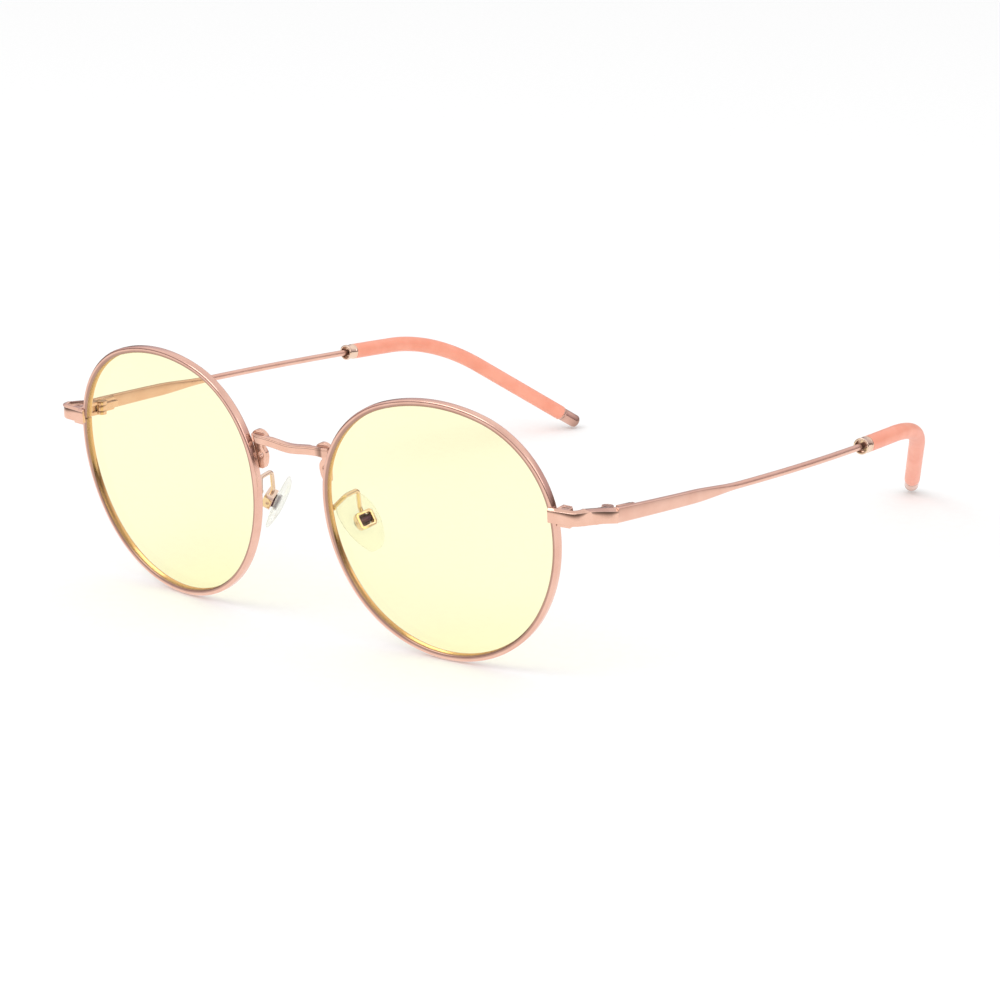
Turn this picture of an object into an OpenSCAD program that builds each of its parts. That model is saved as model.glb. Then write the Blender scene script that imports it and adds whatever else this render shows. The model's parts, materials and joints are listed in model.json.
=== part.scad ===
// Round wire eyeglasses: metal rims, bridge with soldered gussets, adjustable
// nose pads, folding temples on three-barrel hinges, sleeved temple tips.
// Millimetres. X to the wearer's left, Y from the lenses to the ears, Z up.
// Paired pieces are modelled on the wearer's left, in the front's own upright frame;
// place() then leans the whole pair as it stands on a table.

/* [Front] */
// Lens width at its widest
lens_w = 50; // [49:0.25:51]
// Distance between the two lens centres
lens_pitch = 67; // [66.5:0.25:68]
// Angle each lens is wrapped back towards the temple
wrap = 5.6; // [4:0.2:7]
// Width of the rim wire seen from the front
rim_w = 1.24; // [1.2:0.02:1.3]
// Depth of the rim wire from front to back
rim_d = 1.76; // [1.7:0.02:1.84]
// Thickness of a lens
lens_t = 1.7; // [1.4:0.1:2]
// Radius of the lens curve
lens_r = 131; // [110:1:200]

/* [Temples] */
// Outward heading of a temple where it leaves its hinge
splay = 6.54; // [5.5:0.1:7]
// Downward slope of the temples relative to the front
drop = 9.18; // [8:0.1:10]
// Radius of the temple's gentle bow
bow_r = 437; // [400:1:480]
// Height of the flat blade at its hinge
blade_h = 2.8; // [2.7:0.05:3]
// Thickness of the flat blade
blade_t = 1.2; // [1.1:0.02:1.24]
// Length of the parallel part of the blade
blade_len = 20; // [16:1:24]
// Diameter of the round temple wire
wire_d = 1.34; // [1.26:0.02:1.4]
// Diameter of the soft temple tip
tip_d = 3.34; // [3.2:0.02:3.5]
// Straight length of the tip behind the ear bend
tip_straight = 29.8; // [26:0.2:32]

/* [Hinge] */
// Radius of the hinge barrels
barrel_r = 1.1; // [1.1:0.05:1.2]
// Radius of the hinge screw's shank
screw_r = 0.6; // [0.55:0.01:0.62]
// Radial running clearance of the hinge screw
run = 0.04; // [0.02:0.01:0.06]

/* [Stand] */
// Lean of the front when the glasses stand on a table
lean = 5.67; // [5.5:0.01:5.8]

/* [Hidden] */

rose = [0.86, 0.62, 0.53];
gold = [0.85, 0.66, 0.40];
coral = [0.93, 0.60, 0.52];
tint = [0.97, 0.95, 0.55, 0.5];
clear = [0.92, 0.94, 0.95, 0.6];
steel = [0.75, 0.72, 0.70];

// where the whole pair sits on the table
sit_y = -73.42;
sit_z = 25.776;

gap = 0.01;                            // fit line of a soldered or glued face

// ---------- vectors and frames ----------
function heading(a) = [cos(a), sin(a)];
function unit(v) = v / norm(v);
// unit vector square to unit vector t, on the side of v
function square_to(v, t) = unit(v - (v * t) * t);
// any unit vector square to z
function side_of(z) = unit(abs(z[0]) < 0.8 ? cross([1, 0, 0], z) : cross([0, 1, 0], z));

// rigid frame with its origin and its x and y axes given
module frame(origin, x, y) {
    z = cross(x, y);
    multmatrix([
        [x[0], y[0], z[0], origin[0]],
        [x[1], y[1], z[1], origin[1]],
        [x[2], y[2], z[2], origin[2]],
        [0, 0, 0, 1]
    ]) children();
}

// from the front's own frame to the table
module place() {
    translate([0, sit_y, sit_z]) rotate([lean, 0, 0]) children();
}
module left() { place() children(); }
module right() { place() mirror([1, 0, 0]) children(); }

// ---------- lofts and tubes ----------
// points of a rectangle w by h with its corners eased by r, k points a corner
function eased(w, h, r, k = 3) = [
    for (q = [[1, -1, -90], [1, 1, 0], [-1, 1, 90], [-1, -1, 180]], i = [0:k - 1])
        let (a = q[2] + 90 * (i + 0.5) / k)
        [q[0] * (w / 2 - r) + r * cos(a), q[1] * (h / 2 - r) + r * sin(a)]
];

// triangles between two rings of n points, whose first points are numbered a and b
function strip(a, b, n) = [
    for (j = [0:n - 1]) let (next = (j + 1) % n)
        each [[a + j, b + next, a + next], [a + j, b + j, b + next]]
];
function strips(first, rings, n) = [
    for (i = [0:rings - 2]) each strip(first + i * n, first + (i + 1) * n, n)
];
function flipped(faces) = [for (f = faces) [f[2], f[1], f[0]]];

// solid through a list of rings, each turning right-handed about the way the list runs
module loft(rings) {
    n = len(rings[0]);
    m = len(rings);
    polyhedron(
        points = [for (ring = rings) each ring],
        faces = concat(
            [[for (j = [0:n - 1]) j], [for (j = [n - 1:-1:0]) (m - 1) * n + j]],
            strips(0, m, n)));
}

// corner i of path P rounded to radius r in k steps
function corner(P, i, r, k) = let (
        before = unit(P[i - 1] - P[i]),
        after = unit(P[i + 1] - P[i]),
        opening = acos(before * after),
        centre = P[i] + unit(before + after) * r / sin(opening / 2),
        start = unit(P[i] + before * r / tan(opening / 2) - centre))
    [for (j = [0:k]) let (g = (180 - opening) * j / k)
        centre + r * (start * cos(g) - before * sin(g))];
// centreline through points P, each inner one rounded to its own radius
function rounded_path(P, radii, k) = concat(
    [P[0]],
    [for (i = [1:len(P) - 2]) each corner(P, i, radii[i], k)],
    [P[len(P) - 1]]);

function tangent(path, i) = unit(path[min(i + 1, len(path) - 1)] - path[max(i - 1, 0)]);
// side vector carried along the path without twist
function carry(path, i) = i == 0
    ? side_of(tangent(path, 0))
    : square_to(carry(path, i - 1), tangent(path, i));
// rings of radius r, n points each, along the path
function path_rings(path, r, n) = [
    for (i = [0:len(path) - 1])
        let (t = tangent(path, i), u = carry(path, i), v = cross(t, u))
        [for (j = [0:n - 1]) path[i] + r * (cos(360 * j / n) * u + sin(360 * j / n) * v)]
];

module tube(path, r, n) {
    loft(path_rings(path, r, n));
}
// hollow tube, open at both ends
module sleeve(path, outer_r, inner_r, n) {
    m = len(path);
    inner = m * n;                     // first point of the inner wall
    end = (m - 1) * n;                 // first point of the outer wall's last ring
    rings = concat(path_rings(path, outer_r, n), path_rings(path, inner_r, n));
    polyhedron(
        points = [for (ring = rings) each ring],
        faces = concat(
            strips(0, m, n),
            flipped(strips(inner, m, n)),
            flipped(strip(0, inner, n)),
            strip(end, inner + end, n)));
}

// ---------- rim centreline: four tangent arcs on each side ----------
// Angles are those of the outward normal, 0 sideways and 90 up.
size = lens_w / 50;                    // outline's scale; radii are for a 50 mm lens
bottom_r = 23.94 * size;
side_r = 29.91 * size;
upper_r = 20.54 * size;
bottom_end = -31.3;
side_end = 7.25;
upper_end = 72.06;
outline_bottom = -25.25 * size;
bottom_c = [0, outline_bottom + bottom_r];
side_c = bottom_c + (bottom_r - side_r) * heading(bottom_end);
upper_c = side_c + (side_r - upper_r) * heading(side_end);
// the top arc's centre falls on the middle line
top_r = upper_r + upper_c[0] / cos(upper_end);
top_c = upper_c + (upper_r - top_r) * heading(upper_end);

// centre and radius of the arc at normal angle f
function arc_at(f) =
    f <= bottom_end ? [bottom_c, bottom_r] :
    f <= side_end ? [side_c, side_r] :
    f <= upper_end ? [upper_c, upper_r] : [top_c, top_r];
function half_point(f, off) = let (arc = arc_at(f)) arc[0] + (arc[1] + off) * heading(f);
// the same angle between -180 and 180
function signed(f) = f > 180 ? signed(f - 360) : f <= -180 ? signed(f + 360) : f;
// outline point at normal angle f, moved outwards by off
function rim_point(f, off) = let (
        g = signed(f),
        h = abs(g) <= 90 ? g : sign(g) * 180 - g,
        p = half_point(h, off))
    abs(g) <= 90 ? p : [-p[0], p[1]];

rim_half = side_c[0] + side_r;         // half width of the centreline
lens_x = lens_pitch / 2;
nose_x = lens_x - rim_half * cos(wrap);    // centreline nearest the nose
outer_x = lens_x + rim_half * cos(wrap);   // centreline nearest the temple
rim_out = outer_x + rim_w / 2;         // rim's edge nearest the temple
wrap_y = rim_half * sin(wrap);         // how far the wrap carries either side
nose_back = -wrap_y + rim_d / 2;       // back of the rim at the nose

// lens plane: local x sideways, y up, z forwards
module lens_plane() {
    translate([lens_x, 0, 0]) rotate([0, 0, wrap]) rotate([90, 0, 0]) children();
}

// ---------- rim ----------
split_z = 6.2;                         // height of the saw cut that lets the lens in
split_w = 0.28;
split_angle = asin((split_z - upper_c[1]) / upper_r);
groove_w = 0.88;
groove_depth = 0.4;

// rim section with the V groove that holds the lens, on its inner side
function rim_profile() = let (e = eased(rim_w, rim_d, 0.42)) concat(
    [for (i = [0:8]) e[i]],
    [[-rim_w / 2, groove_w / 2], [-rim_w / 2 + groove_depth, 0], [-rim_w / 2, -groove_w / 2]],
    [for (i = [9:11]) e[i]]);

module rim() {
    n = 108;
    half_cut = split_w / 2 / upper_r * 180 / PI;
    profile = rim_profile();
    lens_plane() loft([
        for (i = [0:n])
            let (f = split_angle - half_cut - (360 - 2 * half_cut) * i / n)
            [for (q = profile) let (p = rim_point(f, q[0])) [p[0], p[1], q[1]]]
    ]);
}

// ---------- lens ----------
dome = 3.07;                           // lens crown, in front of the rim's plane
lens_inset = rim_w / 2 + 0.08;         // edge of the curved faces, inside the centreline

module lens() {
    n = 96;
    steps = [0.1, 0.35, 0.6, 0.82, 1]; // rings of a face, as shares of its outline
    function face(k, r) = [
        for (j = [0:n - 1]) let (p = rim_point(360 * j / n, -lens_inset) * k)
            [p[0], p[1], dome - lens_r + sqrt(r * r - p * p)]
    ];
    function bevel(off, z) = [
        for (j = [0:n - 1]) let (p = rim_point(360 * j / n, off)) [p[0], p[1], z]
    ];
    lens_plane() loft(concat(
        [for (k = steps) face(k, lens_r - lens_t)],
        [bevel(-rim_w / 2 - 0.05, -0.38), bevel(-rim_w / 2 + 0.33, 0),
            bevel(-rim_w / 2 - 0.05, 0.38)],
        [for (i = [4:-1:0]) face(steps[i], lens_r)]));
}

// ---------- bridge ----------
strip_h = 1.72;
bridge_half = nose_x + 0.6;            // half length of the strip
plate_front = nose_back + 0.04;        // front face of the soldered plates
bridge_steps = 20;
bridge_xs = [for (i = [-bridge_steps:bridge_steps]) bridge_half * i / bridge_steps];

function bridge_top_z(x) = 11.5 + 0.6 * (1 - exp(-pow(x / 4, 2)));
function ease(v) = v <= 0 ? 0 : v >= 1 ? 1 : v * v * (3 - 2 * v);
// back face, 0.28 fuller between the plates
function bridge_back_y(x) =
    plate_front - gap + 0.28 * (1 - ease((abs(x) - nose_x + 4.2) / 1.0));
// front face, curving back at the ends
function bridge_front_y(x) =
    plate_front - 1.02 + 0.5 * pow(max(0, (abs(x) - nose_x + 1.6) / 2.2), 2);

// flat shape between two curves over bridge_xs, given as lists of heights
module band(upper, lower) {
    last = 2 * bridge_steps;
    polygon(concat(
        [for (i = [0:last]) [bridge_xs[i], upper[i]]],
        [for (i = [last:-1:0]) [bridge_xs[i], lower[i]]]));
}
module bridge() {
    tops = [for (x = bridge_xs) bridge_top_z(x)];
    color(rose) place() intersection() {
        translate([0, 4, 0]) rotate([90, 0, 0]) linear_extrude(10)
            band(tops, [for (z = tops) z - strip_h]);
        translate([0, 0, 5]) linear_extrude(12)
            band([for (x = bridge_xs) bridge_back_y(x)],
                [for (x = bridge_xs) bridge_front_y(x)]);
    }
}

// ---------- gusset ----------
plate_t = 0.95;
gusset_head = [nose_x - 0.85, 10.75];
gusset_head_r = 2.1;
// outline of the leg: x from nose_x, z
GUSSET_LEG = [
    [-2.3, 9.85], [-1.15, 9.75], [-1.75, 9.2], [-2.2, 8.5], [-2.25, 7.5], [-2.0, 6.2],
    [-1.6, 5.4], [-0.9, 5.05], [-0.1, 5.05], [0.15, 5.5], [0.35, 8], [0.95, 10.4]];

// plate soldered behind the rim: round top, narrow leg with a small hole
module gusset() {
    difference() {
        translate([0, plate_front + plate_t, 0]) rotate([90, 0, 0])
            linear_extrude(plate_t) difference() {
                polygon(concat(
                    [for (i = [0:16]) gusset_head + gusset_head_r * heading(30 + 170 * i / 16)],
                    [for (p = GUSSET_LEG) [nose_x + p[0], p[1]]]));
                translate([nose_x - 0.95, 7.85]) circle(0.46, $fn = 32);
            }
        // clear of the rim, whose plane is wrapped
        lens_plane() translate([-60, -60, -rim_d / 2 - 0.03]) cube([120, 120, 8]);
    }
}

// ---------- temple joint ----------
joint = [outer_x + 7.05, 11.93, 4.47];
joint_s = -0.85;                       // joint face, along the temple
joint_gap = 0.04;

// temple frame: x outwards, y along the temple, z up its hinge axis
module temple_frame() {
    translate(joint) rotate([-drop, 0, 0]) rotate([0, 0, -splay]) children();
}

// ---------- end piece ----------
// plan: a front leg, a rounded elbow and a side leg; out is each leg's outer normal
elbow_r = 2.9;
front_lean = 5;
front_t = 0.95;                        // thickness of the front leg
side_t = 1.6;                          // thickness of the side leg
side_face = 0.66;                      // outer face of the side leg, from the temple's centre
front_start = [outer_x - 0.6, wrap_y - rim_d / 2 - 0.78];
front_dir = [cos(front_lean), sin(front_lean)];
front_out = [sin(front_lean), -cos(front_lean)];
side_dir = [sin(splay), cos(splay)];
side_out = [cos(splay), -sin(splay)];

// elbow centre: one radius inside the outer faces of both legs
joint_plan = [joint[0], joint[1]];
side_dist = side_out * joint_plan + side_face - elbow_r;
front_dist = front_out * front_start - elbow_r;
det = side_out[0] * front_out[1] - side_out[1] * front_out[0];
elbow_c = [(side_dist * front_out[1] - front_dist * side_out[1]) / det,
    (side_out[0] * front_dist - front_out[0] * side_dist) / det];
front_len = (elbow_c - front_start) * front_dir;
side_len = (joint_plan - elbow_c) * side_dir + joint_s;
elbow_turn = 90 - front_lean - splay;

// side view of the end piece: y, z
ENDPIECE_SIDE = [
    [-1, 8.0], [1.0, 8.08], [3.2, 8.2], [10.5, 6.1], [12.5, 5.75],
    [12.5, 2.9], [10.92, 3.2], [6.68, 4.44], [3.28, 5.25], [2.0, 5.38], [1.2, 5.32],
    [-1, 5.28]];

// smooth hollow of depth d between a and b
function scoop(v, a, b, d) =
    v <= a || v >= b ? 0 : d * (1 - cos(360 * (v - a) / (b - a))) / 2;

module endpiece_plan() {
    n = 14;
    side_start = elbow_c + elbow_r * side_out;
    side_end_run = side_dir * (side_len + 0.4);
    polygon(concat(
        [for (i = [0:n])
            front_start + front_dir * front_len * i / n - front_out * scoop(i / n, 0.1, 1.0, 0.3)],
        [for (i = [1:n]) elbow_c + elbow_r * heading(-90 + front_lean + elbow_turn * i / n)],
        [for (i = [1:n])
            side_start + side_dir * side_len * i / n - side_out * scoop(i / n, 0.15, 0.95, 0.28)],
        [side_start + side_end_run, elbow_c + (elbow_r - side_t) * side_out + side_end_run],
        // inside of the elbow, thinning towards the front leg
        [for (i = [0:n]) elbow_c
            + (elbow_r - side_t + (side_t - front_t) * i / n) * heading(-splay - elbow_turn * i / n)],
        [[rim_out + 0.06, front_start[1] + 1.06],
            [rim_out + 0.05, front_start[1] + 0.8],
            [outer_x - 0.62, front_start[1] + 0.68]]));
}
module endpiece() {
    difference() {
        intersection() {
            translate([0, 0, -5]) linear_extrude(20) endpiece_plan();
            rotate([90, 0, 90]) linear_extrude(100) polygon(ENDPIECE_SIDE);
        }
        // square to the temple at the joint
        temple_frame() translate([-20, joint_s - joint_gap, -20]) cube([40, 20, 40]);
    }
}

// ---------- rim lock: two blocks and a screw that close the rim on the lens ----------
lock_x = rim_out + 1.5;                // screw axis
lock_back = front_start[1] + 1.09;     // behind the front leg of the end piece
lock_y = lock_back + 1.12;             // screw axis
lock_top = 7.95;
lock_bottom = 4.5;
lock_screw_bottom = 4.65;

module lock_block(z0, z1) {
    translate([rim_out + 0.05, lock_back, z0]) linear_extrude(z1 - z0)
        polygon([[0, 0], [2.6, 0.235], [2.6, 1.5], [1.9, 2.2], [0, 2.2]]);
}
// cylinder on the lock screw's axis
module lock_round(z, r, h) {
    translate([lock_x, lock_y, z]) cylinder(r = r, h = h, $fn = 36);
}
module rim_lock() {
    difference() {
        union() {
            lock_block(split_z + split_w / 2, lock_top);
            lock_block(lock_bottom, split_z - split_w / 2);
        }
        // loose hole above, head seat, tight hole below
        lock_round(split_z, 0.55, 6);
        lock_round(lock_top - 0.5, 0.76, 2);
        lock_round(0, 0.48, split_z);
    }
}
module rim_screw() {
    difference() {
        union() {
            lock_round(lock_screw_bottom, 0.5, lock_top - 0.45 - lock_screw_bottom);
            lock_round(lock_top - 0.48, 0.72, 0.43);
        }
        translate([lock_x - 2, lock_y - 0.1, lock_top - 0.25]) cube([4, 0.2, 1]);
    }
}

// ---------- nose pads ----------
pad_c = [nose_x + 1.393, 4.846, -4.595];   // middle of the pad
pad_out = unit([-0.795, 0.378, -0.473]);   // towards the nose
pad_down = square_to([0.498, -0.037, -0.866], pad_out);
pin_z = -2.05;                         // pad screw's height behind the pad
pin_r = 0.35;
knuckle_r = 0.8;
box_x = 1.65;                          // half size of the box, down the pad

// pad frame: x down the pad, y across it and forwards, z towards the nose
module pad_frame() {
    frame(pad_c, pad_down, cross(pad_out, pad_down)) children();
}
// cylinder on the pad screw's axis, running back from y
module pin_round(y, r, h) {
    translate([0, y, pin_z]) rotate([90, 0, 0]) cylinder(r = r, h = h, $fn = 36);
}

// teardrop inset by d: flatter along its front edge, narrower below
module pad_plan(d) {
    intersection() {
        translate([0.2, 5.79]) circle(9.49 - d, $fn = 128);
        translate([-2.7, -10.1]) circle(14.1 - d, $fn = 160);
        translate([-0.1, 0.15]) circle(6.2 - d, $fn = 96);
        translate([0.6, -1.6]) circle(7.3 - d, $fn = 96);
    }
}
module nose_pad() {
    pad_frame() difference() {
        intersection() {
            union() {
                translate([0, 0, -0.75]) linear_extrude(1.1) pad_plan(0);
                translate([0, 0, -0.75]) linear_extrude(1.5) pad_plan(0.45);
            }
            translate([0, 0, -19.2]) sphere(20, $fn = 180);
        }
        // seat of the lug's buried plate
        translate([0, 0, -1]) cylinder(r = 1.62, h = 0.85, $fn = 48);
    }
}
// buried round plate with a pierced knuckle behind it
module pad_lug() {
    pad_frame() difference() {
        union() {
            translate([0, 0, -0.74]) cylinder(r = 1.58, h = 0.55, $fn = 48);
            intersection() {
                translate([-knuckle_r, -1.15, pin_z - knuckle_r])
                    cube([2 * knuckle_r, 2.3, 2.2]);
                union() {
                    pin_round(2, knuckle_r, 4);
                    translate([-1, -2, pin_z]) cube([2, 4, 3]);
                }
            }
        }
        pin_round(2, pin_r + run, 4);
    }
}
// open frame with rounded corners round the lug
module pad_box() {
    pad_frame() difference() {
        intersection() {
            translate([-box_x, -1.8, pin_z - 1.1]) cube([2 * box_x, 3.6, 1.85]);
            translate([0, 0, pin_z - 2]) cylinder(r = 2.08, h = 4, $fn = 96);
        }
        intersection() {
            translate([-1.1, -1.25, pin_z - 3]) cube([2.2, 2.5, 6]);
            translate([0, 0, pin_z - 3]) cylinder(r = 1.5, h = 6, $fn = 72);
        }
        // tight hole in front, loose hole and head seat behind
        pin_round(2, pin_r - 0.02, 2);
        pin_round(0.5, pin_r + 0.02, 2.5);
        pin_round(-1.5, 0.66, 2);
    }
}
module pad_screw() {
    pad_frame() difference() {
        union() {
            pin_round(1.7, pin_r, 3.25);
            pin_round(-1.51, 0.62, 0.28);
        }
        translate([-2, -2.7, pin_z - 0.1]) cube([4, 1, 0.2]);
    }
}
// wire from the back of the rim to the upper side of the box
module pad_arm() {
    foot_x = nose_x + 0.3;
    foot_z = 0.2;
    box_top = pad_c + pad_out * (pin_z - 0.2) - pad_down * (box_x + gap);
    corners = [
        [foot_x, nose_back + 0.3, foot_z],
        [nose_x + 1.75, 0.6, 2.1],
        [nose_x + 1.95, 4.0, 2.25],
        box_top - pad_down * 0.9 - pad_out * 0.1,
        box_top];
    tube(rounded_path(corners, [0, 1.1, 0.85, 0.6, 0], 7), 0.42, 16);
    // foot soldered on the back of the rim
    translate([foot_x, nose_back + 0.08, foot_z]) rotate([-90, 0, 0])
        cylinder(r = 0.58, h = 0.45, $fn = 32);
}

// ---------- hinge ----------
axis_x = -2.14;                        // hinge axis, inboard of the temple's centre
stack_half = blade_h / 2 - 0.02;       // half height of the barrel stack
middle_half = 0.62;                    // half height left for the middle barrel
middle_z = -middle_half + 0.03;        // bottom of the middle barrel
middle_h = 2 * middle_half - 0.06;
leaf_t = 0.72;
front_leaf_len = 4.2;
temple_leaf_len = 5.6;
temple_leaf_x = -blade_t / 2 - 0.05;   // clear of the blade's bowed inner face
front_leaf_x = side_face - side_t - 0.05;  // clear of the end piece's inner face

module hinge_frame() {
    temple_frame() translate([0, joint_s, 0]) children();
}
// cylinder on the hinge axis
module axis_round(z, r, h, n = 36) {
    translate([axis_x, 0, z]) cylinder(r = r, h = h, $fn = n);
}

// upper and lower barrels, on a leaf inside the end piece
module hinge_front() {
    outer_h = stack_half - middle_half;
    difference() {
        union() {
            for (z = [-stack_half, middle_half]) hinge_frame() {
                axis_round(z, barrel_r, outer_h, 48);
                translate([axis_x, -front_leaf_len, z])
                    cube([front_leaf_x - axis_x, front_leaf_len, outer_h]);
            }
            hinge_frame() translate([front_leaf_x - leaf_t, -front_leaf_len, -stack_half])
                cube([leaf_t, front_leaf_len - barrel_r - 0.16, 2 * stack_half]);
        }
        // tight hole below, loose hole above, head seat
        hinge_frame() {
            axis_round(-5, screw_r - 0.03, 5 - middle_half + 0.01);
            axis_round(0, screw_r + 0.02, 5);
            axis_round(stack_half - 0.4, 0.88, 2);
        }
    }
}
module hinge_screw() {
    hinge_frame() difference() {
        union() {
            axis_round(-stack_half + 0.1, screw_r, 2 * stack_half - 0.45);
            axis_round(stack_half - 0.38, 0.84, 0.36);
        }
        translate([axis_x - 2, -0.12, stack_half - 0.2]) cube([4, 0.24, 1]);
    }
}
// middle barrel, on a leaf inside the blade
module hinge_temple() {
    difference() {
        hinge_frame() {
            axis_round(middle_z, barrel_r, middle_h, 48);
            translate([axis_x, 0, middle_z])
                cube([temple_leaf_x - axis_x, temple_leaf_len, middle_h]);
            translate([temple_leaf_x - leaf_t, barrel_r + 0.2, -stack_half])
                cube([leaf_t, temple_leaf_len - barrel_r - 0.2, 2 * stack_half]);
        }
        hinge_frame() axis_round(-5, screw_r + run, 10);
        // ease the inner part of the leaf's rear corners
        hinge_frame() for (s = [-1, 1])
            translate([axis_x - 2, temple_leaf_len, s * stack_half]) rotate([45, 0, 0])
                cube([6, 0.8, 0.8], center = true);
    }
}

// ---------- temple centreline, in the temple frame; s is the length along it ----------
s_ring = 80.6;                         // front of the ferrule
s_bend = 95.19;                        // where the ear bend starts
taper_end = blade_len + 15;
bend_r = 39;
bend_angle = 38.15;

function bow_angle(s) = s / bow_r * 180 / PI;
function bow_point(s) = [bow_r * (cos(bow_angle(s)) - 1), bow_r * sin(bow_angle(s)), 0];
function bow_dir(s) = [-sin(bow_angle(s)), cos(bow_angle(s)), 0];
function bow_side(s) = [cos(bow_angle(s)), sin(bow_angle(s)), 0];

// the ear bend turns down and inwards
bend_start = bow_point(s_bend);
bend_dir = bow_dir(s_bend);
bend_in = square_to([-0.588, 0, -0.809], bend_dir);
bend_axis = cross(bend_dir, bend_in);
function bend_point(g) =
    bend_start + bend_r * (bend_in * (1 - cos(g)) + bend_dir * sin(g));
// v carried through angle g of the bend
function turned(v, g) =
    (v * bend_dir) * (bend_dir * cos(g) + bend_in * sin(g))
    + (v * bend_in) * (bend_in * cos(g) - bend_dir * sin(g))
    + (v * bend_axis) * bend_axis;

// the tail runs straight on from the bend
tail_start = bend_point(bend_angle);
tail_dir = bend_dir * cos(bend_angle) + bend_in * sin(bend_angle);
core_end = tip_straight - 12;          // end of the wire, along the tail

// frame on the tail's axis, z along it
module tail_frame(along) {
    x = side_of(tail_dir);
    temple_frame() frame(tail_start + tail_dir * along, x, cross(tail_dir, x)) children();
}

// ---------- temple: flat blade tapering into round wire ----------
blade_end_h = blade_h * 0.87;          // height where the taper starts

function taper(s) = min(1, max(0, (s - blade_len) / (taper_end - blade_len)));
function half_height(s) = s < blade_len
    ? (blade_h + (blade_end_h - blade_h) * s / blade_len) / 2
    : wire_d / 2 + (blade_end_h - wire_d) / 2 * (1 + cos(180 * taper(s))) / 2;
// section for length s, set at p with its own up and out directions
function section(s, p, up, out) = let (
        f = taper(s),
        h = half_height(s),
        w = blade_t / 2 + (wire_d / 2 - blade_t / 2) * f,
        r = min(h, w) * (0.42 + 0.579 * f))
    [for (q = eased(2 * h, 2 * w, r, 5)) p + up * q[0] + out * q[1]];
function bent_section(p, g) =
    section(s_bend, p, turned([0, 0, 1], g), turned(bow_side(s_bend), g));

module temple() {
    n = 12;
    stations = concat(
        [joint_s, blade_len / 2, blade_len],
        [for (i = [1:n]) blade_len + (taper_end - blade_len) * i / n],
        [for (i = [1:n]) taper_end + (s_bend - taper_end) * i / n]);
    temple_frame() loft(concat(
        [for (s = stations) section(s, bow_point(s), [0, 0, 1], bow_side(s))],
        [for (i = [1:n]) let (g = bend_angle * i / n) bent_section(bend_point(g), g)],
        [bent_section(tail_start + tail_dir * core_end, bend_angle)]));
}

// ---------- ferrule, soft tip and end cap ----------
tip_r = tip_d / 2;
bore_r = wire_d / 2 + 0.04;
collar_len = 0.5;
ferrule_len = 2.5;
s_tip = s_ring + ferrule_len + gap;    // front of the soft tip
cap_len = 5;
cap_r = tip_r - 0.16;
cap_round = 0.9;

// ring with a collar at each end, hollowed at its front
module ferrule() {
    temple_frame() translate(bow_point(s_ring)) rotate([0, 0, bow_angle(s_ring)])
        rotate([-90, 0, 0]) difference() {
            union() {
                cylinder(r = tip_r + 0.02, h = collar_len, $fn = 96);
                translate([0, 0, collar_len])
                    cylinder(r = tip_r - 0.06, h = ferrule_len - 2 * collar_len, $fn = 96);
                translate([0, 0, ferrule_len - collar_len])
                    cylinder(r = tip_r + 0.02, h = collar_len, $fn = 96);
            }
            translate([0, 0, -1]) cylinder(r = bore_r, h = 5, $fn = 72);
            translate([0, 0, -1]) cylinder(r = tip_r - 0.38, h = 2.5, $fn = 96);
        }
}
// sleeve round the bend, then a straight tail bored for the wire and the cap
module temple_tip() {
    path = concat(
        [for (i = [0:4]) bow_point(s_tip + (s_bend - s_tip) * i / 4)],
        [for (i = [1:14]) bend_point(bend_angle * i / 14)],
        [tail_start + tail_dir * 0.6]);
    temple_frame() sleeve(path, tip_r - 0.005, bore_r + 0.03, 24);
    tail_frame(0) difference() {
        cylinder(r = tip_r, h = tip_straight - cap_len, $fn = 64);
        translate([0, 0, -1]) cylinder(r = bore_r, h = core_end + 1.5, $fn = 32);
        translate([0, 0, tip_straight - cap_len - 3.5]) cylinder(r = bore_r, h = 10, $fn = 32);
    }
}
// round-ended cap with a spigot into the tip
module tip_cap() {
    end = cap_len - gap;
    tail_frame(tip_straight - cap_len + gap) {
        rotate_extrude($fn = 64) intersection() {
            square([tip_d, 20]);
            union() {
                square([cap_r, end - cap_round]);
                square([cap_r - cap_round, end]);
                translate([cap_r - cap_round, end - cap_round]) circle(cap_round, $fn = 40);
            }
        }
        translate([0, 0, -3]) cylinder(r = bore_r - 0.02, h = 3.2, $fn = 32);
    }
}

// ---------- nodes ----------
module rim_left() { color(rose) left() rim(); }
module rim_right() { color(rose) right() rim(); }
module lens_left() { color(tint) left() lens(); }
module lens_right() { color(tint) right() lens(); }
module gusset_left() { color(rose) left() gusset(); }
module gusset_right() { color(rose) right() gusset(); }
module endpiece_left() { color(rose) left() endpiece(); }
module endpiece_right() { color(rose) right() endpiece(); }
module rim_lock_left() { color(rose) left() rim_lock(); }
module rim_lock_right() { color(rose) right() rim_lock(); }
module rim_screw_left() { color(steel) left() rim_screw(); }
module rim_screw_right() { color(steel) right() rim_screw(); }
module pad_arm_left() { color(gold) left() pad_arm(); }
module pad_arm_right() { color(gold) right() pad_arm(); }
module pad_box_left() { color(gold) left() pad_box(); }
module pad_box_right() { color(gold) right() pad_box(); }
module pad_screw_left() { color(steel) left() pad_screw(); }
module pad_screw_right() { color(steel) right() pad_screw(); }
module pad_lug_left() { color(steel) left() pad_lug(); }
module pad_lug_right() { color(steel) right() pad_lug(); }
module nose_pad_left() { color(clear) left() nose_pad(); }
module nose_pad_right() { color(clear) right() nose_pad(); }
module hinge_front_left() { color(rose) left() hinge_front(); }
module hinge_front_right() { color(rose) right() hinge_front(); }
module hinge_screw_left() { color(steel) left() hinge_screw(); }
module hinge_screw_right() { color(steel) right() hinge_screw(); }
module hinge_temple_left() { color(rose) left() hinge_temple(); }
module hinge_temple_right() { color(rose) right() hinge_temple(); }
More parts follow.
